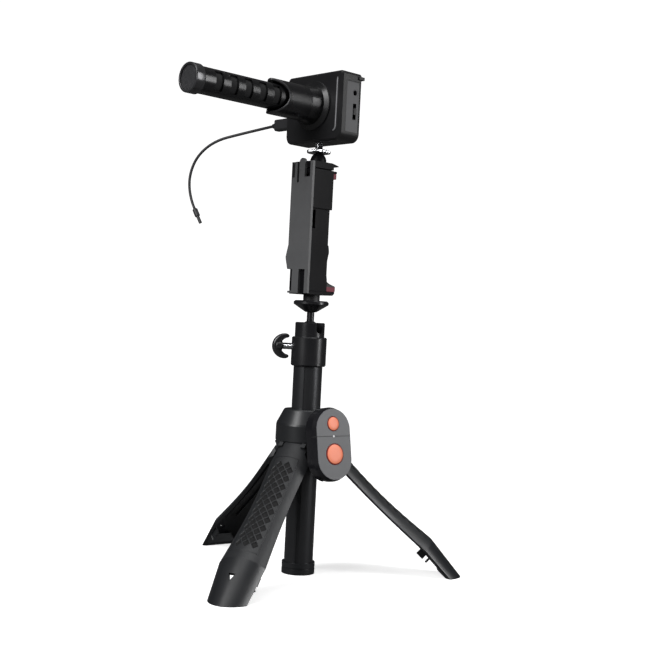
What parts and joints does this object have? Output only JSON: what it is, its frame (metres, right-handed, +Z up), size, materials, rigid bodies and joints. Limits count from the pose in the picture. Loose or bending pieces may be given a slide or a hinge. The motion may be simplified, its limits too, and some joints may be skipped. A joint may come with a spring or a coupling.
{
  "type": "selfie stick",
  "caption": "Telescopic selfie stick on folding tripod legs, with a ball head, phone clamp, pull-off shutter remote and a clip-on shotgun microphone on top.",
  "frame": {"origin": "mouth of the tripod thread in the end cap, on the column's axis, at the height of the floor the feet stand on", "axes": "+Z up along the column; the microphone points along -Y and the phone is gripped on the +Y side"},
  "size_m": [0.1935, 0.2149, 0.352],
  "materials": {
    "leg_plastic": "satin moulded nylon, charcoal black",
    "leg_rubber": "soft rubber with a recessed diamond lattice",
    "foot_plastic": "semi-gloss black plastic",
    "hub_plastic": "fine-grained matt black",
    "tube_metal": "black anodised aluminium",
    "inner_plastic": "plain acetal",
    "pin_steel": "plain steel",
    "chrome": "bright chrome plate",
    "head_metal": "black anodised and painted aluminium",
    "knob_plastic": "gloss black plastic",
    "pad_rubber": "black rubber pad",
    "clamp_plastic": "satin black plastic",
    "clamp_plate": "satin dark grey plastic",
    "crimson_pad": "crimson silicone",
    "mic_shell": "satin black plastic",
    "mic_metal": "satin black painted metal",
    "mic_mesh": "fine black mesh",
    "foam": "soft grey-black insert",
    "board_green": "circuit board lacquer",
    "cable_rubber": "soft black cable jacket",
    "plug_plastic": "moulded black plug",
    "remote_case": "gloss black rim",
    "remote_face": "slate grey fine texture",
    "button_orange": "orange silicone key"
  },
  "bodies": {
    "hub": {"hub_body": "hub_plastic", "hub_crown": "hub_plastic", "column_bush": "inner_plastic", "hinge_pins": "pin_steel", "hub_screws": "pin_steel", "remote_cradle": "hub_plastic"},
    "leg_1": {"leg_1_shell": "leg_plastic", "leg_1_grip": "leg_rubber", "leg_1_foot": "foot_plastic"},
    "leg_2": {"leg_2_shell": "leg_plastic", "leg_2_grip": "leg_rubber", "leg_2_foot": "foot_plastic"},
    "leg_3": {"leg_3_shell": "leg_plastic", "leg_3_grip": "leg_rubber", "leg_3_foot": "foot_plastic"},
    "column": {"main_tube": "tube_metal", "end_cap": "foot_plastic", "main_tube_bush": "inner_plastic"},
    "section_2": {"tube_2": "tube_metal", "tube_2_bushes": "inner_plastic"},
    "section_3": {"tube_3": "tube_metal", "tube_3_bushes": "inner_plastic"},
    "section_4": {"tube_4": "tube_metal", "tube_4_bush": "inner_plastic", "head_collar": "head_metal"},
    "knob": {"wing_knob": "knob_plastic", "knob_screw": "chrome"},
    "socket": {"ball_socket": "head_metal", "ball_seat": "inner_plastic"},
    "ball": {"ball_stud": "head_metal", "saucer_pad": "pad_rubber"},
    "clamp": {"clamp_frame": "clamp_plastic", "clamp_back_plate": "clamp_plate", "lower_jaw_pad": "crimson_pad", "top_cap": "clamp_plastic", "mic_stud": "chrome"},
    "jaw": {"upper_jaw": "clamp_plastic", "upper_jaw_pad": "crimson_pad"},
    "disc": {"lock_disc": "chrome"},
    "mic": {"mic_front_shell": "mic_shell", "mic_rear_shell": "mic_shell", "mic_base_plate": "mic_shell", "mic_collar": "mic_metal", "mic_tube": "mic_metal", "mic_liner": "foam", "mic_grille": "mic_mesh", "mic_capsule": "foam", "mic_board": "board_green", "mic_jack": "inner_plastic", "mic_plug": "plug_plastic", "mic_cable": "cable_rubber", "device_plug": "plug_plastic"},
    "switch": {"mic_switch": "mic_shell"},
    "remote": {"remote_back_shell": "remote_case", "remote_front_shell": "remote_face", "remote_board": "board_green", "coin_cell": "pin_steel"},
    "photo_key": {"photo_button": "button_orange"},
    "video_key": {"video_button": "button_orange"}
  },
  "joints": [
    {"name": "leg_1_fold", "type": "hinge", "parent": "hub", "child": "leg_1", "pos_m": [0.00505, -0.01198, 0.0943], "axis": [0.9216, 0.3882, 0], "range_deg": [0, 47]},
    {"name": "leg_2_fold", "type": "hinge", "parent": "hub", "child": "leg_2", "pos_m": [0.00785, 0.01036, 0.0943], "axis": [-0.797, 0.604, 0], "range_deg": [0, 47]},
    {"name": "leg_3_fold", "type": "hinge", "parent": "hub", "child": "leg_3", "pos_m": [-0.0129, 0.00162, 0.0943], "axis": [-0.1246, -0.9922, 0], "range_deg": [0, 47]},
    {"name": "column_slide", "type": "slide", "parent": "hub", "child": "column", "axis": [0, 0, 1], "range_m": [-0.028, 0]},
    {"name": "section_2_slide", "type": "slide", "parent": "column", "child": "section_2", "axis": [0, 0, 1], "range_m": [0, 0.108]},
    {"name": "section_3_slide", "type": "slide", "parent": "section_2", "child": "section_3", "axis": [0, 0, 1], "range_m": [0, 0.108]},
    {"name": "section_4_slide", "type": "slide", "parent": "section_3", "child": "section_4", "axis": [0, 0, 1], "range_m": [0, 0.108]},
    {"name": "knob_turn", "type": "hinge", "parent": "section_4", "child": "knob", "pos_m": [0, 0, 0.1598], "axis": [-0.6225, -0.7826, 0], "range_deg": [0, 270]},
    {"name": "head_pan", "type": "hinge", "parent": "section_4", "child": "socket", "pos_m": [0, 0, 0.1725], "axis": [0, 0, 1], "continuous": true},
    {"name": "ball_tilt", "type": "hinge", "parent": "socket", "child": "ball", "pos_m": [0, 0, 0.1725], "axis": [0, 1, 0], "range_deg": [-35, 90]},
    {"name": "clamp_swivel", "type": "hinge", "parent": "ball", "child": "clamp", "pos_m": [0, 0, 0.1725], "axis": [0, 0, 1], "continuous": true},
    {"name": "jaw_slide", "type": "slide", "parent": "clamp", "child": "jaw", "axis": [0, 0, 1], "range_m": [-0.02, 0]},
    {"name": "lock_disc_turn", "type": "hinge", "parent": "clamp", "child": "disc", "pos_m": [0, 0, 0.298], "axis": [0, 0, 1], "continuous": true},
    {"name": "mic_swivel", "type": "hinge", "parent": "clamp", "child": "mic", "pos_m": [0, 0, 0.3], "axis": [0, 0, 1], "continuous": true},
    {"name": "mic_switch_slide", "type": "slide", "parent": "mic", "child": "switch", "axis": [0, 0, 1], "range_m": [-0.0025, 0.0025]},
    {"name": "remote_slide", "type": "slide", "parent": "hub", "child": "remote", "axis": [-0.1723, 0.0216, 0.9848], "range_m": [0, 0.03]},
    {"name": "photo_press", "type": "slide", "parent": "remote", "child": "photo_key", "axis": [-0.9771, 0.1227, -0.1736], "range_m": [0, 0.0008], "stiffness_N_per_m": 300, "springref_m": -0.001},
    {"name": "video_press", "type": "slide", "parent": "remote", "child": "video_key", "axis": [-0.9771, 0.1227, -0.1736], "range_m": [0, 0.0008], "stiffness_N_per_m": 300, "springref_m": -0.001}
  ]
}
